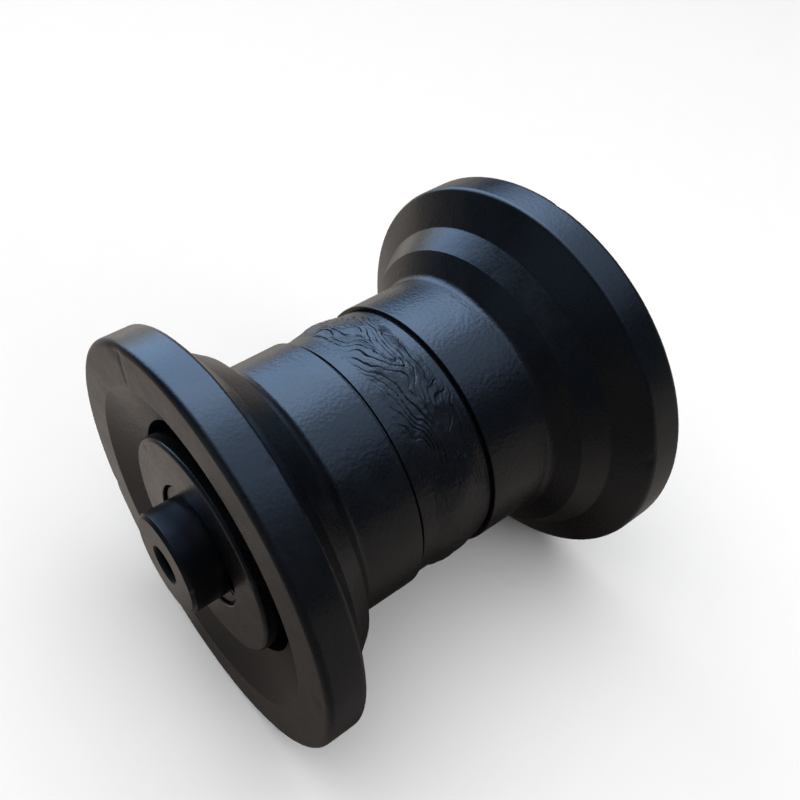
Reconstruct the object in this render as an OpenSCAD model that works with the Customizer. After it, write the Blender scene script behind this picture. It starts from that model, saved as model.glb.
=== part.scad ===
// Track roller for a small excavator undercarriage.
// The spin axis is +Y, +Z is up, and the origin is on the axis at the mid-plane.
// Two forged half shells are welded together round a fixed shaft. Each end holds a
// flanged bushing, a two-ring floating seal, a collar and a snap ring.

/* [Roller shell] */
// Width over the two flange faces
shell_w = 157; // [140:1:220]
// Outer diameter of the flanges
flange_d = 156; // [150:1:210]
// Width of the flange's outer band
flange_band_w = 14; // [10:0.5:20]
// Run of the sloped flange side, along the axis
flange_side_w = 7.5; // [5:0.5:12]
// Radius of the flange's outer corner
flange_edge_r = 2.5; // [1:0.25:4]
// Radius of the flange's inner corner
flange_inner_edge_r = 2; // [0.5:0.25:3]
// Tread diameter at the flange
tread_outer_d = 130; // [124:1:140]
// Tread diameter at its inner edge
tread_inner_d = 118; // [110:1:122]
// Radius of the fillet between tread and flange
tread_fillet_r = 1.5; // [0.5:0.25:3]
// Width of the sloped tread
tread_w = 8.5; // [6:0.5:14]
// Run of the shoulder below the tread, along the axis
shoulder_w = 4.5; // [3:0.5:7]
// Diameter at the shoulder's foot
foot_d = 104.5; // [103:0.5:108]
// Diameter of the hub between the shoulders
hub_d = 100; // [94:1:102]
// Radius of the fillet between hub and shoulder
hub_fillet_r = 3.5; // [1:0.5:4]

/* [Flange face] */
// Width of the flat ring on the flange face
rim_w = 16.5; // [10:0.5:20]
// Depth of the dish inside the flat ring
dish_depth = 8; // [4:0.5:10]
// Depth of the seal cavity's floor below the flange face
cavity_depth = 15.5; // [14:0.5:20]
// Gap round the collar in the seal cavity
cavity_gap = 3.5; // [1.5:0.25:5]

/* [Weld] */
// Depth of the turned band round the joint
band_depth = 1.5; // [0.5:0.25:2.5]
// Reach of the turned band on the left half
band_left_w = 18; // [12:0.5:22]
// Reach of the turned band on the right half
band_right_w = 15; // [12:0.5:22]
// Depth of the weld's V groove
weld_depth = 8; // [5:0.5:9]
// Width of the V groove at its top
weld_groove_w = 12; // [8:0.5:16]
// How far the bead laps over each side of the groove
weld_lap = 1.5; // [0.5:0.25:3]
// Height of the bead's crown over the band
weld_crown = 2; // [1:0.25:3]

/* [Shaft] */
// Diameter of the shaft ends
shaft_end_d = 38; // [30:1:46]
// Height of the shoulder between the journal and the shaft end
shaft_shoulder = 3; // [2:0.5:4]
// Length of the stub that stands out of each flange face
stub_len = 11.5; // [8:0.5:20]
// Chamfer of the shaft end
stub_chamfer = 1.2; // [0.5:0.1:2]
// Tapping diameter of the end thread
thread_d = 12; // [8:0.5:16]
// Depth of the end thread
thread_len = 32; // [20:1:36]
// Diameter of the countersink at the thread's mouth
thread_mouth_d = 15.4; // [12.5:0.1:20]
// Diameter of the oil drilling
oil_d = 5; // [3:0.5:6]
// Diameter of the plug that closes the oil drilling
plug_d = 8; // [6.5:0.5:9]
// Length of the plug
plug_len = 5; // [3:0.5:6]
// Depth of the plug's seat behind the thread
plug_seat = 7; // [6.5:0.5:10]

/* [Bushings] */
// Wall of the bushing
bushing_wall = 3; // [2:0.25:5]
// Length of the bushing below its flange
bushing_len = 30; // [20:1:36]
// Height of the bushing flange over its sleeve
bushing_lip = 4; // [2:0.5:6]
// Thickness of the bushing flange
bushing_flange_t = 3; // [2:0.25:4]
// Depth of the bushing flange's face in its pocket
bushing_recess = 0.5; // [0.2:0.1:1]
// Gap round the bushing flange in its pocket
pocket_gap = 1; // [0.5:0.25:2]
// Step from the bushing's seat out to the oil chamber
chamber_step = 6; // [3:0.5:8]

/* [Collars] */
// Wall of the collar's hub
collar_wall = 8; // [6:0.5:10]
// Depth of the collar's face below the flange face
collar_recess = 1.5; // [0:0.25:4]
// Wall of the collar's rim, outside the seal
collar_rim_w = 3.5; // [2:0.25:5]
// Chamfer round the collar's face
collar_chamfer = 1.5; // [0.5:0.25:2.5]
// Depth of the snap ring's counterbore
counterbore_depth = 3; // [2.75:0.25:6]
// Radial width of the counterbore round the shaft
counterbore_w = 4.5; // [4.25:0.25:6.5]
// Distance from the collar's inner face to its O-ring groove
oring_place = 9; // [6:0.5:12]
// Depth of the O-ring groove in the collar's bore
oring_depth = 2.2; // [1.5:0.1:3]
// How much the O-ring is squeezed between shaft and groove
oring_squeeze = 0.78; // [0.4:0.02:0.9]
// Room beside the O-ring in its groove
oring_room = 0.4; // [0.2:0.1:1]

/* [Snap rings] */
// Thickness of the snap ring
snap_t = 1.75; // [1:0.05:2.5]
// Depth of the snap ring's groove in the shaft
snap_groove = 1; // [0.5:0.1:1.5]
// Radial width of the snap ring
snap_w = 4.3; // [2.5:0.1:4.5]
// How much the snap ring thins towards its opening
snap_thinning = 0.4; // [0:0.05:0.6]
// Opening of the snap ring between its eyes
snap_gap = 9; // [6:0.5:14]
// Diameter of the holes in the snap ring's eyes
snap_eye_d = 2; // [1.5:0.1:2.5]

/* [Floating seals] */
// Radial gap between the collar's hub and the metal rings
seal_hub_gap = 2; // [1:0.25:3]
// Radial thickness of the metal ring's body
seal_body_w = 4.2; // [3:0.1:6]
// How far the metal ring's face stands out past its body
seal_lip_w = 3.6; // [2.5:0.1:4.2]
// Thickness of the metal ring's face
seal_lip_t = 2.2; // [1.5:0.1:3]
// How far the metal ring stops short of the rubber ring's far side
seal_setback = 0.4; // [0:0.1:1]
// Taper of the metal ring's body
seal_taper = 0.8; // [0:0.1:1.2]
// Radial gap that the rubber ring fills
toric_gap = 4.8; // [4.4:0.1:6]
// How much the rubber ring is squeezed in that gap
toric_squeeze = 0.2; // [0.1:0.05:0.6]
// Room behind the metal ring in its housing
seal_room = 0.7; // [0.3:0.1:1.5]
// Chamfer in the bottom of the seal housing
housing_ramp = 2; // [1:0.1:2.4]
// Gap between the two seal housings
housing_gap = 1; // [0.5:0.1:1.5]

/* [Clearances] */
// Radial running clearance of the journal
running_clearance = 0.05; // [0.02:0.01:0.08]
// Axial play between bushing flange and collar
thrust_gap = 0.3; // [0.1:0.05:0.6]
// Radial clearance of the collar on the shaft
collar_fit = 0.02; // [0.01:0.01:0.05]
// Gap between the two metal seal rings
seal_film = 0.05; // [0.02:0.01:0.1]
// Clearance round the snap ring in its groove
snap_fit = 0.05; // [0.02:0.01:0.1]
// Gap left at each face of a squeezed rubber ring
rubber_fit = 0.02; // [0.01:0.01:0.05]

/* [Hidden] */
$fn = 144;
arc_steps = 8;
overcut = 1;
drill_point = 118; // angle of the drill's point, degrees
soft_edge = 0.5; // rounding of machined edges

// places along the axis, on the right-hand half
face_y = shell_w / 2;
flange_inner_y = face_y - flange_band_w;
tread_outer_y = flange_inner_y - flange_side_w;
tread_inner_y = tread_outer_y - tread_w;
foot_y = tread_inner_y - shoulder_w;
dish_y = face_y - dish_depth;
cavity_y = face_y - cavity_depth;
seal_y = cavity_y + housing_gap / 2;
toric_d = toric_gap + toric_squeeze;
seal_len = seal_lip_t + toric_d - seal_setback;
housing_depth = seal_len + seal_room;
housing_y = cavity_y - housing_depth;
bushing_y = housing_y - bushing_flange_t - bushing_recess;
bushing_face_y = bushing_y + bushing_flange_t;
journal_y = bushing_face_y + thrust_gap;
chamber_y = bushing_y - bushing_len;
collar_y = face_y - collar_recess;
counterbore_y = collar_y - counterbore_depth;
collar_housing_y = seal_y + (seal_y - housing_y);
collar_mouth_y = seal_y + housing_gap / 2;
shaft_y = face_y + stub_len;
thread_y = shaft_y - thread_len;
plug_y = thread_y - plug_seat;
snap_y = counterbore_y + snap_fit;
snap_groove_w = snap_t + 2 * snap_fit;
oring_y = journal_y + oring_place;
oring_gap = oring_depth + collar_fit;
oring_d = oring_gap + oring_squeeze;
oring_groove_w = oring_d + oring_room;

// radii, from the shaft outwards
end_r = shaft_end_d / 2;
journal_r = end_r + shaft_shoulder;
bushing_bore_r = journal_r + running_clearance;
bushing_r = bushing_bore_r + bushing_wall;
bushing_flange_r = bushing_r + bushing_lip;
flange_pocket_r = bushing_flange_r + pocket_gap;
collar_bore_r = end_r + collar_fit;
collar_hub_r = collar_bore_r + collar_wall;
seal_bore_r = collar_hub_r + seal_hub_gap;
seal_body_r = seal_bore_r + seal_body_w;
seal_lip_r = seal_body_r + seal_lip_w;
housing_r = seal_body_r + toric_gap;
collar_r = housing_r + collar_rim_w;
cavity_r = collar_r + cavity_gap;
counterbore_r = end_r + counterbore_w;
rim_inner_r = flange_d / 2 - rim_w;
band_r = hub_d / 2 - band_depth;
weld_root_r = band_r - weld_depth;
chamber_r = bushing_r + chamber_step;
groove_r = end_r - snap_groove;

paint = [0.06, 0.065, 0.075];
steel = [0.55, 0.56, 0.58];
bronze = [0.72, 0.52, 0.25];
seal_iron = [0.42, 0.42, 0.44];
rubber = [0.12, 0.1, 0.09];

// unit vector from p to q
function toward(p, q) = (q - p) / norm(q - p);

// arc that rounds corner b of the path a, b, c; a radius of 0 keeps the corner
function corner(a, b, c, r) =
    r == 0 ? [b] :
    let (u = toward(b, a), v = toward(b, c),
         half = acos(u * v) / 2,
         mid = b + toward([0, 0], u + v) * r / sin(half),
         p = b + u * r / tan(half),
         q = b + v * r / tan(half),
         start = atan2(p[1] - mid[1], p[0] - mid[0]),
         sweep = atan2(q[1] - mid[1], q[0] - mid[0]) - start,
         turn = sweep > 180 ? sweep - 360 : sweep < -180 ? sweep + 360 : sweep)
    [for (i = [0 : arc_steps]) mid + r * [cos(start + turn * i / arc_steps),
                                          sin(start + turn * i / arc_steps)]];

// outline from rows of [radius, place along the axis, corner radius]
function outline(rows) =
    let (n = len(rows), p = [for (row = rows) [row[0], row[1]]])
    [for (i = [0 : n - 1])
        each corner(p[(i + n - 1) % n], p[i], p[(i + 1) % n], rows[i][2])];

// turns a profile of [radius, place] round the +Y axis
module turned() {
    rotate([-90, 0, 0]) rotate_extrude() children();
}

// a round bar along +Y from one place to another
module bar(r, from, to) {
    translate([0, from, 0]) rotate([-90, 0, 0]) cylinder(r = r, h = to - from);
}

// a cone along +Y from one place to another
module cone(r1, r2, from, to) {
    translate([0, from, 0]) rotate([-90, 0, 0]) cylinder(r1 = r1, r2 = r2, h = to - from);
}

module left() {
    mirror([0, 1, 0]) children();
}

// one forged half shell, on the right of the joint
module shell_half(band_w) {
    color(paint) turned() polygon(outline([
        [chamber_r, 0, 0],
        [weld_root_r, 0, 0],
        [band_r, weld_groove_w / 2, 0],
        [band_r, band_w, 0],
        [hub_d / 2, band_w, soft_edge],
        [hub_d / 2, foot_y - (foot_d - hub_d) / (tread_inner_d - foot_d) * shoulder_w, hub_fillet_r],
        [tread_inner_d / 2, tread_inner_y, soft_edge],
        [tread_outer_d / 2, tread_outer_y, tread_fillet_r],
        [flange_d / 2, flange_inner_y, flange_inner_edge_r],
        [flange_d / 2, face_y, flange_edge_r],
        [rim_inner_r, face_y, soft_edge],
        [cavity_r, dish_y, soft_edge],
        [cavity_r, cavity_y, 0],
        [housing_r, cavity_y, 0],
        [housing_r, housing_y + housing_ramp, 0],
        [housing_r - housing_ramp, housing_y, 0],
        [flange_pocket_r, housing_y, 0],
        [flange_pocket_r, bushing_y, 0],
        [bushing_r, bushing_y, 0],
        [bushing_r, chamber_y, 0],
        [chamber_r, chamber_y - (chamber_r - bushing_r), 0]
    ]));
}

// V groove filling and crown, all round the joint
module weld_bead() {
    lap = weld_groove_w / 2 + weld_lap;
    crown_r = (lap * lap + weld_crown * weld_crown) / (2 * weld_crown);
    color(paint) turned() union() {
        polygon([[weld_root_r, 0], [band_r, -weld_groove_w / 2], [band_r, weld_groove_w / 2]]);
        intersection() {
            translate([band_r + weld_crown - crown_r, 0]) circle(r = crown_r);
            translate([band_r, -lap]) square([weld_crown, 2 * lap]);
        }
    }
}

// flanged bushing, pressed into the half shell
module bushing() {
    color(bronze) turned() polygon(outline([
        [bushing_bore_r, chamber_y, soft_edge],
        [bushing_r, chamber_y, soft_edge],
        [bushing_r, bushing_y, 0],
        [bushing_flange_r, bushing_y, 0],
        [bushing_flange_r, bushing_face_y, soft_edge],
        [bushing_bore_r, bushing_face_y, soft_edge]
    ]));
}

// metal ring of the floating seal, on the outer side of the seal plane
module seal_ring() {
    face = seal_y + seal_film / 2;
    color(seal_iron) turned() polygon([
        [seal_bore_r, face],
        [seal_lip_r, face],
        [seal_lip_r, face + seal_lip_t],
        [seal_body_r, face + seal_lip_t],
        [seal_body_r - seal_taper, face + seal_len],
        [seal_bore_r, face + seal_len]
    ]);
}

// rubber ring squeezed between the metal ring and its housing
module seal_rubber() {
    place = seal_y + seal_film / 2 + seal_lip_t + toric_d / 2 + rubber_fit;
    color(rubber) turned() translate([seal_body_r + toric_gap / 2, place]) intersection() {
        circle(d = toric_d);
        square([toric_gap - 2 * rubber_fit, toric_d + overcut], center = true);
    }
}

// puts an outer seal piece on the inner side of the seal plane
module shell_side() {
    translate([0, 2 * seal_y, 0]) mirror([0, 1, 0]) children();
}

// end collar, with the outer seal housing and the snap ring's counterbore
module collar() {
    color(paint) turned() polygon(outline([
        [collar_bore_r, journal_y, soft_edge],
        [collar_hub_r, journal_y, soft_edge],
        [collar_hub_r, collar_housing_y, 0],
        [housing_r - housing_ramp, collar_housing_y, 0],
        [housing_r, collar_housing_y - housing_ramp, 0],
        [housing_r, collar_mouth_y, 0],
        [collar_r, collar_mouth_y, soft_edge],
        [collar_r, collar_y, collar_chamfer],
        [counterbore_r, collar_y, soft_edge],
        [counterbore_r, counterbore_y, 0],
        [collar_bore_r, counterbore_y, 0],
        [collar_bore_r, oring_y + oring_groove_w, 0],
        [collar_bore_r + oring_depth, oring_y + oring_groove_w, 0],
        [collar_bore_r + oring_depth, oring_y, 0],
        [collar_bore_r, oring_y, 0]
    ]));
}

// O-ring squeezed between the collar's groove and the shaft
module shaft_oring() {
    color(rubber) turned() translate([end_r + oring_gap / 2, oring_y + oring_groove_w / 2])
        intersection() {
            circle(d = oring_d);
            square([oring_gap - 2 * rubber_fit, oring_groove_w], center = true);
        }
}

// outside snap ring with two eyes, lying in the shaft's groove
module snap_ring() {
    inner_r = groove_r + snap_fit;
    outer_r = inner_r + snap_w;
    eye_r = outer_r - snap_w / 2;
    eye_turn = asin((snap_gap / 2 + snap_w / 2) / eye_r);
    color(paint) translate([0, snap_y, 0]) rotate([-90, 0, 0]) linear_extrude(snap_t)
        difference() {
            union() {
                difference() {
                    circle(r = outer_r);
                    translate([snap_thinning, 0]) circle(r = inner_r + snap_thinning);
                    translate([0, -snap_gap / 2]) square([outer_r + overcut, snap_gap]);
                }
                for (side = [-1, 1])
                    rotate(side * eye_turn) translate([eye_r, 0]) circle(d = snap_w);
            }
            for (side = [-1, 1])
                rotate(side * eye_turn) translate([eye_r, 0]) circle(d = snap_eye_d);
            circle(r = inner_r);
        }
}

// tapped hole in one shaft end, with its countersink and drill point
module thread_cut() {
    mouth = (thread_mouth_d - thread_d) / 2;
    bar(thread_d / 2, thread_y, shaft_y + overcut);
    cone(thread_d / 2 - overcut, thread_mouth_d / 2 + overcut,
         shaft_y - mouth - overcut, shaft_y + overcut);
    cone(0, thread_d / 2, thread_y - thread_d / 2 / tan(drill_point / 2), thread_y);
}

// turned shaft: journal, two stepped ends, snap ring grooves and threads
module shaft() {
    color(steel) difference() {
        turned() polygon(outline([
            [0, -shaft_y, 0],
            [end_r - stub_chamfer, -shaft_y, 0],
            [end_r, stub_chamfer - shaft_y, 0],
            [end_r, -snap_y + snap_fit - snap_groove_w, 0],
            [groove_r, -snap_y + snap_fit - snap_groove_w, 0],
            [groove_r, snap_fit - snap_y, 0],
            [end_r, snap_fit - snap_y, 0],
            [end_r, -journal_y, 0],
            [journal_r, -journal_y, soft_edge],
            [journal_r, journal_y, soft_edge],
            [end_r, journal_y, 0],
            [end_r, snap_y - snap_fit, 0],
            [groove_r, snap_y - snap_fit, 0],
            [groove_r, snap_y - snap_fit + snap_groove_w, 0],
            [end_r, snap_y - snap_fit + snap_groove_w, 0],
            [end_r, shaft_y - stub_chamfer, 0],
            [end_r - stub_chamfer, shaft_y, 0],
            [0, shaft_y, 0]
        ]));
        thread_cut();
        left() thread_cut();
        bar(plug_d / 2, plug_y, thread_y);
        bar(oil_d / 2, 0, plug_y);
        rotate([0, 90, 0]) cylinder(d = oil_d, h = journal_r + overcut);
    }
}

// plug pressed in behind the right-hand thread, closing the oil drilling
module oil_plug() {
    color(steel) turned() polygon(outline([
        [0, plug_y, 0],
        [plug_d / 2, plug_y, soft_edge],
        [plug_d / 2, plug_y + plug_len, soft_edge],
        [0, plug_y + plug_len, 0]
    ]));
}

left() shell_half(band_left_w);  // shell_left
shell_half(band_right_w);  // shell_right
weld_bead();
left() bushing();  // bushing_left
bushing();  // bushing_right
left() shell_side() seal_ring();  // seal_ring_shell_left
shell_side() seal_ring();  // seal_ring_shell_right
left() shell_side() seal_rubber();  // seal_rubber_shell_left
shell_side() seal_rubber();  // seal_rubber_shell_right
shaft();
left() collar();  // collar_left
collar();  // collar_right
left() seal_ring();  // seal_ring_collar_left
seal_ring();  // seal_ring_collar_right
left() seal_rubber();  // seal_rubber_collar_left
seal_rubber();  // seal_rubber_collar_right
left() shaft_oring();  // shaft_oring_left
shaft_oring();  // shaft_oring_right
left() snap_ring();  // snap_ring_left
snap_ring();  // snap_ring_right
oil_plug();
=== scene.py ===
import math

import bpy
import bmesh
import numpy as np
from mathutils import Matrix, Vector


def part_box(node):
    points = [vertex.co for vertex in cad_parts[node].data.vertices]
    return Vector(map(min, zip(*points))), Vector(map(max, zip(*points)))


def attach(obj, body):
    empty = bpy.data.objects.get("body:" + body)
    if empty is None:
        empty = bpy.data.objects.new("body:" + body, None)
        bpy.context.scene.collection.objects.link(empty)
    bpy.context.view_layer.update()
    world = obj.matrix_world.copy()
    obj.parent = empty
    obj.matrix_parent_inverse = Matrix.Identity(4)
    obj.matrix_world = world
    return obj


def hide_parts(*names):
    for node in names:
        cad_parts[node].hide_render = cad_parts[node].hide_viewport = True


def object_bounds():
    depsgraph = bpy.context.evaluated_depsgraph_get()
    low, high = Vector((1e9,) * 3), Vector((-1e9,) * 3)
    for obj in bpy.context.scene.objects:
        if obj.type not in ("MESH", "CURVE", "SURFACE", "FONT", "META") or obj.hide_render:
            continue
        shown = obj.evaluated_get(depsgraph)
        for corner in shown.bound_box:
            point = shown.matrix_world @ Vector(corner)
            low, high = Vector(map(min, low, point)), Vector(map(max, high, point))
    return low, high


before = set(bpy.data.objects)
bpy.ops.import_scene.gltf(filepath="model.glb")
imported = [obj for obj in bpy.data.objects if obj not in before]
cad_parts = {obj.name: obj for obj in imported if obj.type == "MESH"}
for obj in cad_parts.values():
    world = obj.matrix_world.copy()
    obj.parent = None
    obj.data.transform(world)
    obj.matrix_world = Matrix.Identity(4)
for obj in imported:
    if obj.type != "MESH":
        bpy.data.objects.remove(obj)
cadLow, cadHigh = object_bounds()
mm = 0.001
fullTurn = 2 * math.pi
print("frame loaded:", len(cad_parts), "nodes")

bpy.context.scene.view_settings.view_transform = "Standard"
bpy.context.scene.view_settings.look = "None"


cameraSet = {
    "place": (0.1746, -0.1491, 0.2654),
    "heading": 53.10,  # degrees from +Y towards -X
    "tilt": 45.85,  # degrees below the horizon
    "lens": 41.57,
    "shift": (0.0813, -0.0125),
}

camera = bpy.data.objects.new("camera", bpy.data.cameras.new("camera"))
bpy.context.scene.collection.objects.link(camera)
camera.location = cameraSet["place"]
camera.rotation_euler = (
    math.radians(90 - cameraSet["tilt"]), 0, math.radians(cameraSet["heading"]))
camera.data.sensor_width = 36
camera.data.lens = cameraSet["lens"]
camera.data.shift_x, camera.data.shift_y = cameraSet["shift"]
camera.data.clip_start = 0.01
bpy.context.scene.camera = camera


class Wire:
    # one socket that Python's own operators work on
    def __init__(self, graph, socket):
        self.graph, self.socket = graph, socket

    def mathWith(self, operation, first, second=None, clamp=False):
        values = {0: first} if second is None else {0: first, 1: second}
        return self.graph.add(
            "ShaderNodeMath", {"operation": operation, "use_clamp": clamp}, values)

    def __add__(self, other):
        return self.mathWith("ADD", self, other)

    def __radd__(self, other):
        return self.mathWith("ADD", other, self)

    def __sub__(self, other):
        return self.mathWith("SUBTRACT", self, other)

    def __rsub__(self, other):
        return self.mathWith("SUBTRACT", other, self)

    def __mul__(self, other):
        return self.mathWith("MULTIPLY", self, other)

    def __rmul__(self, other):
        return self.mathWith("MULTIPLY", other, self)

    def __pow__(self, other):
        return self.mathWith("POWER", self, other)

    def clamped(self):
        return self.mathWith("ADD", self, 0.0, clamp=True)

    def absolute(self):
        return self.mathWith("ABSOLUTE", self)

    def larger(self, other):
        return self.mathWith("MAXIMUM", self, other)

    def between(self, low, high):
        # 0 below low, 1 above high, smooth in between; low may be the larger one
        settings = {"interpolation_type": "SMOOTHSTEP"}
        return self.graph.add(
            "ShaderNodeMapRange", settings,
            {"Value": self, "From Min": low, "From Max": high})


class Graph:
    # a node tree and the ways of adding to it
    def __init__(self, tree):
        self.tree = tree
        self.place = self.add("ShaderNodeTexCoord", {}, {}, "Object")

    def add(self, kind, settings, values, output=0):
        node = self.tree.nodes.new(kind)
        for key, value in settings.items():
            setattr(node, key, value)
        for key, value in values.items():
            if isinstance(value, Wire):
                self.tree.links.new(value.socket, node.inputs[key])
            else:
                node.inputs[key].default_value = value
        return Wire(self, node.outputs[output])

    def noise(self, scale, detail=2.0, rough=0.5, twist=0.0, place=None, seed=0.0):
        spot = place or self.place
        if seed:
            spot = self.add("ShaderNodeVectorMath", {"operation": "ADD"},
                            {0: spot, 1: (seed, -seed, 2 * seed)})
        return self.add(
            "ShaderNodeTexNoise", {},
            {"Vector": spot, "Scale": scale, "Detail": detail, "Roughness": rough,
             "Distortion": twist}, "Fac")

    def cells(self, scale):
        return self.add(
            "ShaderNodeTexVoronoi", {"feature": "SMOOTH_F1"},
            {"Vector": self.place, "Scale": scale, "Randomness": 1.0}, "Distance")

    def mix(self, share, first, second):
        return self.add(
            "ShaderNodeMix", {"data_type": "RGBA"},
            {"Factor": share, 6: opaque(first), 7: opaque(second)}, 2)

    def axes(self):
        # radius from the turning axis, and place along it, in millimetres
        parts = self.add("ShaderNodeSeparateXYZ", {}, {0: self.place})
        node = parts.socket.node
        x, y, z = (Wire(self, node.outputs[i]) for i in range(3))
        radius = (x * x + z * z) ** 0.5
        return radius * 1000, y * 1000, x, z

    def rolled(self, around, along):
        # unrolled coordinates: turns round the axis, then place along it, then radius
        radius, y, x, z = self.axes()
        angle = self.add("ShaderNodeMath", {"operation": "ARCTAN2"}, {0: z, 1: x})
        return self.add("ShaderNodeCombineXYZ", {},
                        {0: angle * around, 1: y * along, 2: radius * along})


class Finish(Graph):
    # one surface finish
    def __init__(self, name, rough=0.5, **fixed):
        self.material = bpy.data.materials.new(name)
        self.material.use_nodes = True
        super().__init__(self.material.node_tree)
        self.surface = self.tree.nodes["Principled BSDF"]
        self.surface.inputs["Roughness"].default_value = rough
        for socket, value in fixed.items():
            self.surface.inputs[socket.replace("_", " ")].default_value = value

    def done(self, height=None, depth=0.0, **fed):
        for socket, value in fed.items():
            self.feed(socket.replace("_", " "), value)
        if height is not None:
            self.feed("Normal", self.add("ShaderNodeBump", {}, {
                "Height": height, "Distance": depth, "Strength": 1.0}))
        return self.material

    def feed(self, socket, value):
        if isinstance(value, Wire):
            self.tree.links.new(value.socket, self.surface.inputs[socket])
        else:
            self.surface.inputs[socket].default_value = opaque(value)


def opaque(shade):
    bare = isinstance(shade, tuple) and len(shade) == 3
    return (*shade, 1.0) if bare else shade


def heading(around, up):
    # direction from degrees round from +Y towards +X, and degrees above the horizon
    around, up = math.radians(around), math.radians(up)
    return Vector((math.sin(around) * math.cos(up), math.cos(around) * math.cos(up),
                   math.sin(up)))


# soft lamps light the floor and the paint; the gloss sees the room and a card instead
lightSet = {
    "ceiling": {"toward": (0, 90), "distance": 1.7, "size": 3.0, "power": 50.0},
    "leftBox": {"toward": (-95, 28), "distance": 2.2, "size": 1.6, "power": 12.0},
    "rightBox": {"toward": (80, 28), "distance": 2.2, "size": 1.6, "power": 12.0},
}

for lightName, values in lightSet.items():
    light = bpy.data.lights.new(lightName, "AREA")
    light.shape = "DISK"
    light.size = values["size"]
    light.energy = values["power"]
    lamp = bpy.data.objects.new(lightName, light)
    bpy.context.scene.collection.objects.link(lamp)
    aim = heading(*values["toward"])
    lamp.location = aim * values["distance"]
    lamp.rotation_euler = aim.to_track_quat("Z", "Y").to_euler()
    lamp.visible_camera = lamp.visible_glossy = False

# what the gloss sees round the roller: directions in degrees, colours in linear light
roomSet = {
    "dim": (0.048, 0.066, 0.10),
    "spots": [  # toward, outer and inner edge, colour
        ((-7, 71), (48, 7), (0.74, 1.05, 1.60)),
        ((-65, 47), (36, 12), (2.5, 3.7, 5.6)),
        ((-85, 23), (32, 9), (1.85, 2.85, 4.5)),
        ((-83, -7), (17, 13), (1.45, 1.45, 1.35)),
        ((-168, 12), (22, 6), (0.17, 0.26, 0.38)),
    ],
    "below": (0.30, 0.27, 0.25),
}


def makeRoom():
    r = roomSet
    world = bpy.data.worlds.new("room")
    bpy.context.scene.world = world
    world.use_nodes = True
    g = Graph(world.node_tree)
    toward = Wire(g, g.place.socket.node.outputs["Generated"])
    up = Wire(g, g.add("ShaderNodeSeparateXYZ", {}, {0: toward}).socket.node.outputs[2])
    room = g.mix(up.between(-0.12, 0.06), r["below"], r["dim"])
    for aim, edges, shade in r["spots"]:
        facing = g.add("ShaderNodeVectorMath", {"operation": "DOT_PRODUCT"},
                       {0: toward, 1: heading(*aim)}, "Value")
        outer, inner = (math.cos(math.radians(a)) for a in edges)
        room = g.mix(facing.between(outer, inner), room, shade)
    g.tree.links.new(room.socket, g.tree.nodes["Background"].inputs["Color"])
    world.cycles_visibility.diffuse = False
    print("room made,", len(r["spots"]), "bright spots")


floorSet = {
    "half": 4.0, "color": (0.90, 0.90, 0.90), "rough": 0.8, "glow": (0.90, 0.90, 0.90),
    "fade": (0.5, 1.5), "wallHigh": 5, "wallPosts": 64, "cardGap": 0.0004,
    # what the gloss sees of the floor: left, right, and the shade under the roller
    "left": (0.50, 0.445, 0.405), "streak": (1.00, 0.92, 0.82), "dull": (0.22, 0.20, 0.19),
    "front": (0.33, 0.29, 0.265),
    "right": (0.29, 0.265, 0.25), "rear": (0.125, 0.115, 0.115),
    "shade": (0.19, 0.165, 0.15), "deep": (0.030, 0.026, 0.024),
    # where that shade starts and is full, along each side of the roller, in metres
    "shadeLeft": (-0.048, -0.014), "shadeRight": (0.125, 0.055),
    "shadeFront": (-0.20, -0.13), "shadeRear": (0.125, 0.075),
}


def square(half, high):
    return [(-half, -half, high), (half, -half, high),
            (half, half, high), (-half, half, high)]


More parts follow.
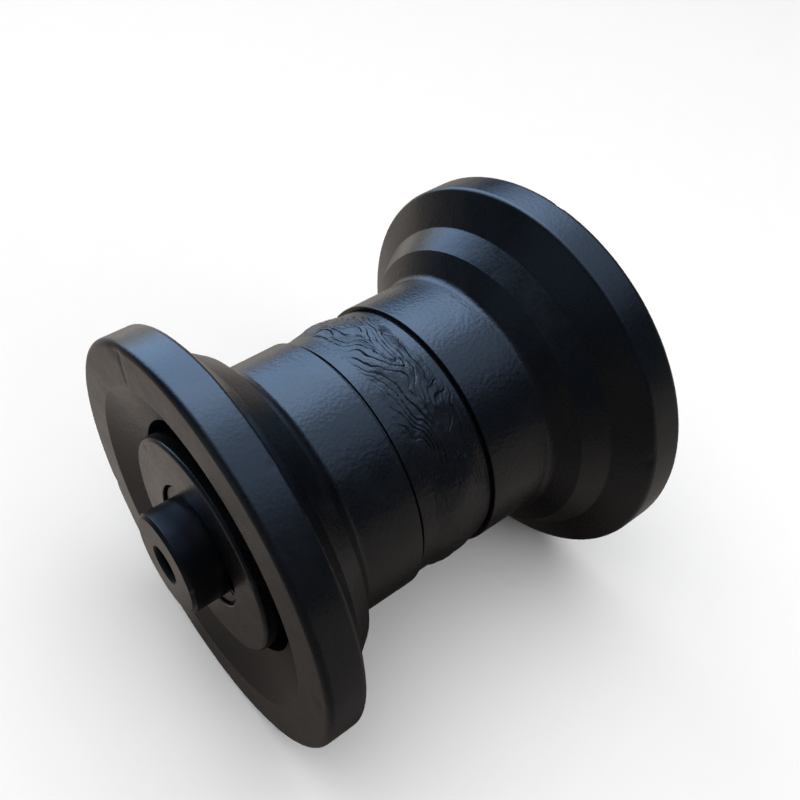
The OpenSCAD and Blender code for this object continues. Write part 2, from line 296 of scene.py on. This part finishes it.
def makeStage():
    # the floor under the flanges, and a pale wall far behind it that lights nothing
    half, low = floorSet["half"], cadLow.z
    floor = meshObject("floor", square(half, low), [(0, 1, 2, 3)])
    look = Finish("floorPaint", floorSet["rough"], Specular_IOR_Level=0.0)
    # far off, the lit floor passes over into the glow of the wall
    across = look.add("ShaderNodeVectorMath", {"operation": "LENGTH"}, {0: look.place},
                      "Value")
    far = across.between(*floorSet["fade"])
    tone = look.mix(look.noise(60, 3), floorSet["color"],
                    tuple(0.98 * c for c in floorSet["color"]))
    look.surface.inputs["Emission Strength"].default_value = 1.0
    floor.data.materials.append(look.done(
        Base_Color=look.mix(far, tone, (0.0, 0.0, 0.0)),
        Emission_Color=look.mix(far, (0.0, 0.0, 0.0), floorSet["glow"])))
    floor.visible_glossy = False
    posts = floorSet["wallPosts"]
    rim = [(half * 0.98 * math.cos(a), half * 0.98 * math.sin(a))
           for a in np.linspace(0, fullTurn, posts, endpoint=False)]
    wall = meshObject(
        "backWall",
        [(x, y, z) for z in (low - 0.01, low + floorSet["wallHigh"]) for x, y in rim],
        [(i, (i + 1) % posts, posts + (i + 1) % posts, posts + i) for i in range(posts)])
    glow = Finish("wallPaint", 1.0, Emission_Strength=1.0)
    wall.data.materials.append(glow.done(Base_Color=(0.0, 0.0, 0.0),
                                         Emission_Color=floorSet["glow"]))
    wall.visible_glossy = wall.visible_diffuse = wall.visible_shadow = False
    card = meshObject("glossFloor", square(half, low - floorSet["cardGap"]),
                      [(0, 1, 2, 3)])
    g = Finish("glossFloorPaint", 1.0, Emission_Strength=1.0, Specular_IOR_Level=0.0)
    parts = g.add("ShaderNodeSeparateXYZ", {}, {0: g.place}).socket.node
    x, y = Wire(g, parts.outputs[0]), Wire(g, parts.outputs[1])
    f = floorSet
    left = g.mix(((x + 0.55) ** 2 + ((y - 0.14) * 1.4) ** 2).between(0.085, 0.02),
                 f["left"], f["streak"])
    left = g.mix(y.between(-0.12, -0.155), left, f["front"])
    left = g.mix((y + x * 0.35).between(-0.22, -0.34), left, f["dull"])
    right = g.mix(y.between(-0.10, 0.05), f["rear"], f["right"])
    lit = g.mix(x.between(-0.03, 0.08), left, right)
    under = x.between(*f["shadeLeft"]) * x.between(*f["shadeRight"]) \
        * y.between(*f["shadeFront"]) * y.between(*f["shadeRear"])
    shade = g.mix(y.between(-0.115, -0.045), f["shade"], f["deep"])
    card.data.materials.append(g.done(
        Base_Color=(0.0, 0.0, 0.0), Emission_Color=g.mix(under, lit, shade)))
    card.visible_camera = card.visible_diffuse = card.visible_shadow = False
    print("floor, wall and gloss card made")


def meshObject(name, points, faces):
    mesh = bpy.data.meshes.new(name)
    mesh.from_pydata([tuple(p) for p in points], [], faces)
    mesh.update()
    made = bpy.data.objects.new(name, mesh)
    bpy.context.scene.collection.objects.link(made)
    return made


def rounded(rows, arcSteps=7):
    # closed outline from rows of (radius, place, corner radius), all in millimetres
    points = [np.array(row[:2], float) for row in rows]
    made = []
    for i, row in enumerate(rows):
        before, here, after = points[i - 1], points[i], points[(i + 1) % len(rows)]
        if row[2] == 0:
            made.append(here)
            continue
        u = (before - here) / np.linalg.norm(before - here)
        v = (after - here) / np.linalg.norm(after - here)
        half = math.acos(float(np.clip(u @ v, -1, 1))) / 2
        middle = here + (u + v) / np.linalg.norm(u + v) * row[2] / math.sin(half)
        first, last = here + u * row[2] / math.tan(half), here + v * row[2] / math.tan(half)
        start = math.atan2(*(first - middle)[::-1])
        sweep = (math.atan2(*(last - middle)[::-1]) - start + math.pi) % fullTurn - math.pi
        made += [middle + row[2] * np.array([math.cos(start + sweep * k / arcSteps),
                                             math.sin(start + sweep * k / arcSteps)])
                 for k in range(arcSteps + 1)]
    return made


def refined(outline, step, closed=True, support=0.12):
    # cuts long straight runs, and keeps a loop close to each of their ends
    made = []
    count = len(outline)
    for i in range(count if closed else count - 1):
        p, q = outline[i], outline[(i + 1) % count]
        length = float(np.linalg.norm(q - p))
        size = step(p, q) if callable(step) else step
        if length < 4 * support:
            made.append(p)
            continue
        pieces = max(1, round((length - 2 * support) / size))
        shares = [0.0] + [(support + (length - 2 * support) * k / pieces) / length
                          for k in range(pieces + 1)]
        made += [p + (q - p) * s for s in shares]
    if not closed:
        made.append(outline[-1])
    return np.array(made)


def outwards(path, closed=True):
    # unit normals of an outline in its plane, out of the metal
    ahead = np.roll(path, -1, 0) - path
    behind = path - np.roll(path, 1, 0)
    if not closed:
        ahead[-1], behind[0] = ahead[-2], behind[1]
    run = ahead / np.maximum(np.linalg.norm(ahead, axis=1), 1e-9)[:, None] \
        + behind / np.maximum(np.linalg.norm(behind, axis=1), 1e-9)[:, None]
    normal = np.stack([run[:, 1], -run[:, 0]], 1)
    normal /= np.maximum(np.linalg.norm(normal, axis=1), 1e-9)[:, None]
    ahead = np.roll(path, -1, 0)
    area = np.sum(path[:, 0] * ahead[:, 1] - ahead[:, 0] * path[:, 1])
    return normal * (1 if area > 0 else -1)


def lattice(turn, along, cellsRound, cellLength, seed):
    # smooth random values from -1 to 1 that close on themselves round the axis
    low = float(along.min())
    rows = int((float(along.max()) - low) / cellLength) + 3
    values = np.random.default_rng(seed).uniform(-1, 1, (cellsRound, rows))
    a = (turn / fullTurn * cellsRound) % cellsRound
    b = (along - low) / cellLength
    i, j = np.floor(a).astype(int), np.floor(b).astype(int)
    fa, fb = a - i, b - j
    fa, fb = fa * fa * (3 - 2 * fa), fb * fb * (3 - 2 * fb)
    i, nextI = i % cellsRound, (i + 1) % cellsRound
    near = values[i, j] * (1 - fa) + values[nextI, j] * fa
    far = values[i, j + 1] * (1 - fa) + values[nextI, j + 1] * fa
    return near * (1 - fb) + far * fb


def turned(name, path, segments, relief, closed=True, crease=40):
    # turns an outline round +Y; relief gives how far each point moves along its normal
    path = np.asarray(path, float)
    normal = outwards(path, closed)
    along = np.concatenate([[0], np.cumsum(np.linalg.norm(np.diff(path, axis=0), axis=1))])
    turn = np.linspace(0, fullTurn, segments, endpoint=False)[:, None]
    radius = np.broadcast_to(path[:, 0], (segments, len(path))).copy()
    place = np.broadcast_to(path[:, 1], (segments, len(path))).copy()
    move = relief(turn + 0 * radius, radius, place, along + 0 * radius)
    radius += move * normal[:, 0]
    place += move * normal[:, 1]
    points = np.stack([radius * np.cos(turn), place, radius * np.sin(turn)], -1) * mm
    rows = len(path)
    index = np.arange(segments * rows).reshape(segments, rows)
    if closed:
        a, b = index, np.roll(index, -1, 0)
        quads = np.stack([a, np.roll(a, -1, 1), np.roll(b, -1, 1), b], -1).reshape(-1, 4)
        faces = quads.tolist()
        points = points.reshape(-1, 3)
    else:
        # both ends lie on the axis: one point each
        a, b = index[:, 1:-1], np.roll(index, -1, 0)[:, 1:-1]
        quads = np.stack([a[:, :-1], a[:, 1:], b[:, 1:], b[:, :-1]], -1).reshape(-1, 4)
        flat = points.reshape(-1, 3)
        keep = index[:, 1:-1].reshape(-1)
        renumber = -np.ones(len(flat), int)
        renumber[keep] = np.arange(len(keep))
        faces = renumber[quads].tolist()
        poles = [points[0, 0], points[0, -1]]
        first, last = len(keep), len(keep) + 1
        for k in range(segments):
            n = (k + 1) % segments
            faces.append([first, int(renumber[index[k, 1]]), int(renumber[index[n, 1]])])
            faces.append([last, int(renumber[index[n, -2]]), int(renumber[index[k, -2]])])
        points = np.concatenate([flat[keep], poles])
    made = meshObject(name, points, faces)
    tidyMesh(made, crease)
    return made


def tidyMesh(made, crease):
    work = bmesh.new()
    work.from_mesh(made.data)
    bmesh.ops.recalc_face_normals(work, faces=work.faces)
    work.to_mesh(made.data)
    work.free()
    made.data.shade_smooth()
    made.data.set_sharp_from_angle(angle=math.radians(crease))


def mirrored(rows):
    return [(r, -y, c) for r, y, c in reversed(rows)]


def turnedFrom(turn, angle):
    # radians from an angle in degrees, the short way round
    return (turn - math.radians(angle) + math.pi) % fullTurn - math.pi


def dent(turn, along, angle, place, length, wide, radius):
    # bell-shaped mark; angle in degrees, the rest in millimetres
    offset = turnedFrom(turn, angle)
    return np.exp(-((offset * radius / length) ** 2 + ((along - place) / wide) ** 2))


paintSet = {
    "black": (0.0016, 0.0018, 0.0023),
    "dusty": (0.0085, 0.0082, 0.0080),
    "bare": (0.060, 0.057, 0.054),
    "paintedShade": (0.0006, 0.0006, 0.0008),  # painted shade: near-black colour for deep inside the cavity and the thread hole
    "rough": 0.29,
}


def paintLook(name, pebble, depth, rough=0.0, bare=None, streak=0.0, grain=1.0,
              dullShadedInside=0.0):
    # black paint over cast or turned metal: pebbled skin, dust, rubbed places and painted
    # shade deep inside
    g = Finish(name, paintSet["rough"], Specular_IOR_Level=0.5)
    radius, y = g.axes()[:2]
    broad = g.noise(28, 3, 0.55)
    patch = g.noise(95, 4, 0.6, seed=3.1)
    fine = g.noise(900, 3, 0.6)
    dust = (patch * 0.7 + broad * 0.5).between(0.55, 0.85) * 0.35
    color = g.mix(dust, paintSet["black"], paintSet["dusty"])
    speck = g.noise(1500, 2, 0.5, seed=1.7).between(0.70, 0.80) * 0.08
    color = g.mix(speck, color, paintSet["bare"])
    roughness = paintSet["rough"] + rough + (broad - 0.5) * 0.16 + (patch - 0.5) * 0.18 \
        + (fine - 0.5) * 0.12
    skin = g.cells(760) * 0.75 + g.noise(620, 2, 0.55, 0.3) * 0.6
    grainHeight = g.noise(1900, 2, 0.6) * 0.22 * grain
    height = skin * (pebble * (0.45 + 0.55 * radius.between(57, 51))) + grainHeight
    if streak:
        lines = g.noise(1.0, 3, 0.6, place=g.rolled(2.2, 1.6))
        height = height + lines * streak
        roughness = roughness + (lines - 0.5) * 0.15
    if bare is not None:
        worn = bare(g, radius, y)
        color = g.mix(worn * 0.5, color, paintSet["bare"])
        roughness = roughness - worn * 0.08
    if dullShadedInside:
        # painted shade below this radius: a darker colour, with rougher paint
        inside = radius.between(dullShadedInside + 0.5, dullShadedInside - 0.5)
        color = g.mix(inside, color, paintSet["paintedShade"])
        roughness = (roughness + inside * 0.6).clamped()
    return g.done(height, depth, Base_Color=color, Roughness=roughness)


def rubbedEdges(corners, reach=1.3):
    # a mask round given (radius, place) corners, broken up by noise
    def mask(g, radius, y):
        whole = None
        side = y.absolute()
        for cornerR, cornerY in corners:
            gap = ((radius - cornerR) ** 2 + (side - cornerY) ** 2) ** 0.5
            near = gap.between(reach, 0.2)
            whole = near if whole is None else whole.larger(near)
        broken = g.noise(210, 5, 0.7, seed=5.3).between(0.60, 0.74)
        return whole * broken
    return mask


shellSet = {
    "flangeBand": 14.0, "flangeSide": 7.5, "treadW": 8.5, "shoulder": 4.5,
    "treadOuterR": 65.0, "treadInnerR": 59.0, "footR": 52.25, "hubR": 50.0,
    "hubFillet": 3.5, "treadFillet": 1.5, "flangeEdge": 2.5, "flangeInnerEdge": 2.0,
    "rim": 16.5, "dish": 8.0, "cavityDeep": 15.5, "cavityR": 45.02,
    "band": 1.5, "bandLeft": 18.0, "bandRight": 15.0, "vDeep": 8.0, "vHalf": 6.0,
    "housingR": 38.02, "housingRamp": 2.0, "housingY": 55.5, "pocketR": 30.05,
    "seatY": 52.0, "boreR": 25.05, "chamberY": 22.0, "chamberR": 31.05,
    "nickLeft": 1.7, "nickRight": 1.1, "nickDeep": 0.8, "soft": 0.5,
    "segments": 512, "step": 1.6, "knockHigh": 1.5,
    "castFrom": 19,  # the turned band is smooth up to here
    # a run in the paint across the left rim, between two radii
    "runAt": 116, "runSlant": 0.3, "runDeep": 0.28, "runWide": 0.8,
    "runFrom": 63, "runTo": 77,
}
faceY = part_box("shell_right")[1].y / mm
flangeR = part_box("shell_right")[1].x / mm
bandR = shellSet["hubR"] - shellSet["band"]


def shellRows(bandW, nickWide):
    s = shellSet
    flangeInnerY = faceY - s["flangeBand"]
    treadOuterY = flangeInnerY - s["flangeSide"]
    treadInnerY = treadOuterY - s["treadW"]
    footY = treadInnerY - s["shoulder"]
    slope = (s["footR"] - s["hubR"]) / (s["treadInnerR"] - s["footR"])
    hubEndY = footY - slope * s["shoulder"]
    dishY, cavityY = faceY - s["dish"], faceY - s["cavityDeep"]
    return [
        (s["chamberR"], 0, 0),
        (bandR - s["vDeep"], 0, 0),
        (bandR, s["vHalf"], 0),
        (bandR, bandW - nickWide, 0.15),
        (bandR - s["nickDeep"], bandW - nickWide + 0.25, 0.1),
        (bandR - s["nickDeep"], bandW, 0.1),
        (s["hubR"], bandW, 0.45),
        (s["hubR"], hubEndY, s["hubFillet"]),
        (s["treadInnerR"], treadInnerY, s["soft"]),
        (s["treadOuterR"], treadOuterY, s["treadFillet"]),
        (flangeR, flangeInnerY, s["flangeInnerEdge"]),
        (flangeR, faceY, s["flangeEdge"]),
        (flangeR - s["rim"], faceY, s["soft"]),
        (s["cavityR"], dishY, s["soft"]),
        (s["cavityR"], cavityY, 0),
        (s["housingR"], cavityY, 0),
        (s["housingR"], s["housingY"] + s["housingRamp"], 0),
        (s["housingR"] - s["housingRamp"], s["housingY"], 0),
        (s["pocketR"], s["housingY"], 0),
        (s["pocketR"], s["seatY"], 0),
        (s["boreR"], s["seatY"], 0),
        (s["boreR"], s["chamberY"], 0),
        (s["chamberR"], s["chamberY"] - (s["chamberR"] - s["boreR"]), 0),
    ]


# knocks in the paint: degrees round, distance from the middle, length, width, depth, radius
knocks = {
    "left": [(117, 78.4, 5.0, 0.8, 0.25, 75), (4, 78.4, 3.5, 0.7, 0.3, 73),
             (63, 66.0, 1.2, 0.8, 0.2, 78), (205, 78.0, 2.0, 1.0, 0.3, 77),
             (286, 66.5, 2.5, 0.9, 0.25, 78)],
    "right": [(87, 78.0, 1.6, 1.0, 0.35, 77), (92, 61.0, 1.3, 0.9, 0.2, 71),
              (12, 64.0, 2.4, 0.7, 0.3, 76), (158, 77.5, 2.2, 1.1, 0.3, 77),
              (243, 65.0, 2.0, 1.0, 0.3, 77)],
}


def shellRelief(side, seed):
    s = shellSet

    def relief(turn, radius, place, along):
        outside = np.clip((radius - bandR + 0.6) / 0.5, 0, 1)
        cast = outside * np.clip((np.abs(place) - s["castFrom"]) / 2, 0, 1)
        move = 0.05 * lattice(turn, along, 14, 22, seed) * cast
        move += 0.011 * lattice(turn, along, 70, 6, seed + 1) * cast
        move += 0.008 * lattice(turn, along, 190, 2.2, seed + 2) * outside
        for angle, spot, length, wide, deep, reach in knocks[side]:
            gap = np.abs(place) - spot
            bell = dent(turn, gap, angle, 0, length, wide, reach)
            bell *= np.exp(-((radius - reach) / 2.0) ** 2)
            move -= s["knockHigh"] * deep * bell * outside
        if side == "left":
            slant = (turn - math.radians(s["runAt"])) * radius \
                + s["runSlant"] * (radius - 70)
            reach = np.clip((radius - s["runFrom"]) / 2, 0, 1) \
                * np.clip((s["runTo"] - radius) / 2, 0, 1)
            move -= s["runDeep"] * np.exp(-(slant / s["runWide"]) ** 2) * reach * outside
        return move
    return relief


def makeShells():
    s = shellSet
    edges = [(flangeR, faceY), (flangeR, faceY - s["flangeBand"])]
    look = paintLook("shellPaint", pebble=0.85, bare=rubbedEdges(edges), depth=0.00013,
                     dullShadedInside=s["cavityR"])
    for side, seed in (("left", 11), ("right", 23)):
        rows = shellRows(s["band" + side.capitalize()], s["nick" + side.capitalize()])
        if side == "left":
            rows = mirrored(rows)
        path = refined(rounded(rows), s["step"])
        name = "shell" + side.capitalize()
        shell = turned(name, path, s["segments"], shellRelief(side, seed))
        shell.data.materials.append(look)
        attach(shell, "roller")
        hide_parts("shell_" + side)
        print(name, len(shell.data.vertices), "points")


weldSet = {
    "half": 14.0, "rows": 136, "segments": 1280, "sunk": 0.30, "crown": 1.45,
    "beadHalf": 11.0, "ripple": 9.5, "bow": 3.9, "rippleHigh": 0.30, "creaseDeep": 0.38,
    "dressedAt": 8, "dressedWide": 0.36, "dressed": 0.85,  # degrees, radians, share
    "spatters": 40, "spatterReach": 9, "spatterSize": (0.3, 0.75),
    "under": 1.2, "underSide": 0.4,  # how far its hidden lower edge lies in the shells
    "seed": 41,
}


def weldHeight(turn, s):
    # height over the turned band in millimetres; s is the place across the bead
    w, seed = weldSet, weldSet["seed"]

    def field(cells, length, number):
        return lattice(turn, s + 20, cells, length, seed + number)

    arc = turn * bandR
    wander = 1.8 * lattice(turn, 0 * s, 9, 30, seed)
    wide = w["beadHalf"] * (1 + 0.22 * lattice(turn, 0 * s, 13, 30, seed + 1))
    across = (s - wander + 1.0 * field(70, 6, 2)) / wide
    body = np.clip(1 - across ** 2, 0, None) ** 1.5
    hump = 1 + 0.36 * lattice(turn, 0 * s, 17, 30, seed + 3) + 0.30 * field(30, 9, 4)
    # long hooked lines where the melt ran, bent by three sizes of swirl
    bend = 9.0 * field(12, 5, 5) + 4.0 * field(30, 3, 6) + 1.3 * field(90, 1.8, 7)
    side = s - wander + 3.2 * field(24, 8, 8) + 1.2 * field(64, 4, 9)
    flow = (arc - w["bow"] * np.sqrt(side ** 2 + 1.2) + bend) / w["ripple"]
    phase = flow % 1
    rise = np.clip(phase / 0.22, 0, 1)
    ripple = rise * rise * (3 - 2 * rise) * (1 - phase) ** 0.8
    strong = np.clip(0.55 + 0.75 * field(36, 6, 10), 0.08, 1.3)
    fine = np.sin(fullTurn * (flow * 2.3 + 0.8 * field(90, 4, 11)))
    crease = np.clip(1 - phase / 0.18, 0, 1) * np.clip(field(30, 5, 12) + 0.5, 0, 1)
    # one stretch is smooth, where the run was closed and dressed
    gap = turnedFrom(turn, w["dressedAt"])
    rough = 1 - w["dressed"] * np.exp(-(gap / w["dressedWide"]) ** 2)
    high = body * w["crown"] * hump
    high += body ** 0.5 * rough * (
        2 * (ripple - 0.5) * w["rippleHigh"] * strong + 0.05 * fine * strong
        - w["creaseDeep"] * crease)
    high += 0.10 * field(150, 2.2, 13) * body ** 0.5 * rough + 0.03 * field(300, 1.2, 14)
    # spatter beside the bead
    spots = np.random.default_rng(seed + 20)
    for _ in range(w["spatters"]):
        angle, spot = spots.uniform(0, 360), spots.normal(0, w["spatterReach"])
        size = spots.uniform(*w["spatterSize"])
        offset = turnedFrom(turn, angle)
        away = np.sqrt((offset * bandR) ** 2 + (s - spot) ** 2) / size
        bead = np.clip(1 - away ** 2, 0, None) ** 0.5 * size * 0.5
        high = np.where(away < 1, np.maximum(high, bead), high)
    outside = np.clip((np.abs(across) - 0.9) / 0.2, 0, 1)
    lying = -w["sunk"] * outside
    ends = np.clip((w["half"] - np.abs(s)) / 0.8, 0, 1)
    return np.where(high > 0.02, high, lying) * ends - w["sunk"] * (1 - ends)


def makeWeld():
    w = weldSet
    across = np.linspace(-w["half"], w["half"], w["rows"])
    top = [np.array([bandR, y]) for y in across[::-1]]
    lowR, edge = bandR - w["under"], w["half"] - w["underSide"]
    under = [np.array([lowR, -edge]), np.array([lowR, -w["half"] * 0.6]),
             np.array([bandR - shellSet["vDeep"], 0.0]),
             np.array([lowR, w["half"] * 0.6]), np.array([lowR, edge])]
    path = np.array(top + under)[::-1]

    def relief(turn, radius, place, along):
        shown = radius > bandR - 0.01
        return np.where(shown, weldHeight(turn, place), 0)

    weld = turned("weldBead", path, w["segments"], relief, crease=60)
    look = paintLook("weldPaint", pebble=0.5, rough=0.02, streak=0.8, depth=0.00012,
                     grain=1.2)
    weld.data.materials.append(look)
    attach(weld, "roller")
    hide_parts("weld_bead")
    print("weldBead", len(weld.data.vertices), "points")


collarSet = {
    "boreR": 19.02, "hubR": 27.02, "startY": 55.3, "housingY": 71.5, "ramp": 2.0,
    "housingR": 38.02, "mouthY": 64.0, "outerR": 41.52, "chamfer": 1.5,
    "counterR": 23.5, "counterY": 74.0, "grooveY": (64.3, 67.7), "grooveDeep": 2.2,
    "soft": 0.5, "segments": 288, "step": 1.4,
    # chips in the paint: degrees round, radius, length, width, share of the depth
    "chips": [(29, 40.6, 1.6, 0.8, 1.0), (141, 38.5, 0.7, 0.7, 0.7)], "chipDeep": 0.35,
}


def collarRows():
    c = collarSet
    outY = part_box("collar_right")[1].y / mm
    return [
        (c["boreR"], c["startY"], c["soft"]),
        (c["hubR"], c["startY"], c["soft"]),
        (c["hubR"], c["housingY"], 0),
        (c["housingR"] - c["ramp"], c["housingY"], 0),
        (c["housingR"], c["housingY"] - c["ramp"], 0),
        (c["housingR"], c["mouthY"], 0),
        (c["outerR"], c["mouthY"], c["soft"]),
        (c["outerR"], outY, c["chamfer"]),
        (c["counterR"], outY, c["soft"]),
        (c["counterR"], c["counterY"], 0),
        (c["boreR"], c["counterY"], 0),
        (c["boreR"], c["grooveY"][1], 0),
        (c["boreR"] + c["grooveDeep"], c["grooveY"][1], 0),
        (c["boreR"] + c["grooveDeep"], c["grooveY"][0], 0),
        (c["boreR"], c["grooveY"][0], 0),
    ]


def makeCollars():
    c = collarSet
    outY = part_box("collar_right")[1].y / mm
    edges = [(c["outerR"] - 0.4, outY - 0.4), (c["counterR"], outY)]
    look = paintLook("collarPaint", pebble=0.25, rough=-0.02, bare=rubbedEdges(edges, 0.9),
                     streak=0.25, depth=0.00003)

    def relief(turn, radius, place, along):
        shown = np.clip((np.abs(place) - 75) / 1.5, 0, 1) \
            * np.clip((radius - 23) / 0.5, 0, 1)
        move = 0.018 * lattice(turn, along, 60, 5, 61) * shown
        chip = sum(share * dent(turn, radius, angle, spot, length, wide, spot)
                   for angle, spot, length, wide, share in c["chips"])
        return move - c["chipDeep"] * chip * shown

    for side in ("left", "right"):
        rows = collarRows() if side == "right" else mirrored(collarRows())
        path = refined(rounded(rows), c["step"])
        name = "collar" + side.capitalize()
        collar = turned(name, path, c["segments"], relief)
        collar.data.materials.append(look)
        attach(collar, "shaft_assembly")
        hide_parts("collar_" + side)
        print(name, len(collar.data.vertices), "points")


shaftSet = {
    "endR": 19.0, "journalR": 22.0, "journalY": 55.3, "grooveR": 18.0,
    "grooveY": (74.0, 75.85), "chamfer": 1.2, "mouthR": 7.7, "threadR": 6.0,
    "threadDeep": 0.95, "pitch": 2.0, "threadLong": 32.0, "point": 59.0,
    "oilR": 2.5, "plugR": 4.0, "plugSeat": 7.0, "soft": 0.5, "segments": 224,
    "step": 2.2, "threadStep": 0.22,
    "paintFrom": (72.9, 73.4),  # bare steel inside of this, painted outside
}


def makeShaft():
    s = shaftSet
    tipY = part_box("shaft")[1].y / mm
    threadY = tipY - s["threadLong"]
    pointY = s["threadR"] / math.tan(math.radians(s["point"]))
    mouth = s["mouthR"] - s["threadR"]
    outside = [
        (s["mouthR"], tipY, 0.25), (s["endR"] - s["chamfer"], tipY, 0.3),
        (s["endR"], tipY - s["chamfer"], 0.3), (s["endR"], s["grooveY"][1], 0),
        (s["grooveR"], s["grooveY"][1], 0), (s["grooveR"], s["grooveY"][0], 0),
        (s["endR"], s["grooveY"][0], 0), (s["endR"], s["journalY"], 0),
        (s["journalR"], s["journalY"], s["soft"]),
    ]
    hole = [(s["threadR"], threadY, 0), (s["threadR"], tipY - mouth, 0)]
    drilled = [(0, 0, 0), (s["oilR"], 0, 0), (s["oilR"], threadY - s["plugSeat"], 0),
               (s["plugR"], threadY - s["plugSeat"], 0), (s["plugR"], threadY, 0)]
    left = mirrored(hole + outside) + [(0, -threadY + pointY, 0)]
    rows = drilled + hole + outside + left
    outline = rounded(rows, 5)

    def step(p, q):
        inThread = abs(p[0] - s["threadR"]) < 0.01 and abs(q[0] - s["threadR"]) < 0.01
        return s["threadStep"] if inThread else s["step"]

    path = refined(outline, step, closed=False)

    def relief(turn, radius, place, along):
        # the thread's helix, cut outwards from the tapping hole
        inThread = (np.abs(radius - s["threadR"]) < 0.01) & (np.abs(place) > threadY)
        fade = np.clip((np.abs(place) - threadY) / 2, 0, 1) \
            * np.clip((tipY - mouth - np.abs(place)) / 0.3, 0, 1)
        phase = (place / s["pitch"] + turn / fullTurn) % 1
        ridge = np.clip(1.25 * (1 - np.abs(2 * phase - 1)) - 0.12, 0, 1)
        shown = np.clip((np.abs(place) - 76) / 1, 0, 1) * (radius > 8)
        skin = shown * (0.018 * lattice(turn, along, 60, 4, 71)
                        + 0.022 * lattice(turn, along, 34, 2.6, 73))
        return skin - s["threadDeep"] * ridge * fade * inThread

    shaft = turned("turnedShaft", path, s["segments"], relief, closed=False)
    g = Finish("shaftFinish", paintSet["rough"], Specular_IOR_Level=0.30)
    radius, y = g.axes()[:2]
    painted = y.absolute().between(*s["paintFrom"])
    ground = g.noise(1.0, 3, 0.6, place=g.rolled(1.2, 9.0))
    steel = g.mix(ground, (0.42, 0.42, 0.43), (0.56, 0.56, 0.57))
    dust = g.noise(120, 4, 0.6).between(0.5, 0.8) * 0.4
    black = g.mix(dust, paintSet["black"], paintSet["dusty"])
    # painted shade: darker colour and rougher paint inside the thread hole
    inHole = radius.between(7.4, 6.6) * painted
    black = g.mix(inHole, black, paintSet["paintedShade"])
    broken = g.noise(230, 5, 0.7, seed=2.2).between(0.55, 0.7)
    fromEdge = (radius - s["endR"]).absolute() + (y.absolute() - tipY).absolute()
    worn = broken * fromEdge.between(2.2, 0.9)
    black = g.mix(worn * 0.7, black, paintSet["bare"])
    color = g.mix(painted, steel, black)
    rough = painted * (0.31 + dust * 0.25 + inHole * 0.5) \
        + (1 - painted) * (0.22 + ground * 0.12)
    height = painted * (g.noise(420, 3, 0.6) + g.noise(1700, 2) * 0.3) + ground * 0.15
    look = g.done(height, 0.00003, Base_Color=color, Roughness=rough, Metallic=1 - painted)
    shaft.data.materials.append(look)
    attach(shaft, "shaft_assembly")
    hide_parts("shaft")
    print("turnedShaft", len(shaft.data.vertices), "points")


def metalLook(name, dark, light, rough):
    # turned metal: fine lines round the axis, broken by a soft cloud
    g = Finish(name, rough, Metallic=1.0)
    lines = g.noise(1.0, 4, 0.6, place=g.rolled(1.2, 9.0))
    cloud = g.noise(160, 3, 0.6)
    color = g.mix((lines * 0.6 + cloud * 0.4).between(0.25, 0.75), dark, light)
    return g.done(lines, 0.00001, Base_Color=color,
                  Roughness=rough + (lines - 0.5) * 0.14 + (cloud - 0.5) * 0.1)


def rubberLook(name, tone):
    g = Finish(name, 0.62)
    bloom = g.noise(130, 4, 0.65).between(0.45, 0.75)
    grain = g.noise(1400, 2, 0.6)
    color = g.mix(bloom * 0.5, tone, tuple(2.4 * c for c in tone))
    return g.done(grain, 0.00002, Base_Color=color, Roughness=0.56 + grain * 0.16)


def dressNodes():
    looks = {
        "bushing": metalLook("bushingBronze", (0.42, 0.26, 0.10), (0.66, 0.44, 0.20), 0.32),
        "seal_ring": metalLook("sealIron", (0.20, 0.20, 0.205), (0.36, 0.36, 0.37), 0.26),
        "seal_rubber": rubberLook("sealRubber", (0.016, 0.015, 0.014)),
        "shaft_oring": rubberLook("oringRubber", (0.020, 0.019, 0.018)),
        "snap_ring": paintLook("snapRingPaint", pebble=0.1, rough=0.02, depth=0.00002),
        "oil_plug": metalLook("plugSteel", (0.30, 0.30, 0.31), (0.50, 0.50, 0.51), 0.34),
    }
    for nodeName, node in sorted(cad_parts.items()):
        for start, look in looks.items():
            if nodeName.startswith(start):
                node.data.materials.clear()
                node.data.materials.append(look)
    print("inner pieces dressed")


makeRoom()
makeStage()
makeShells()
makeWeld()
makeCollars()
makeShaft()
dressNodes()
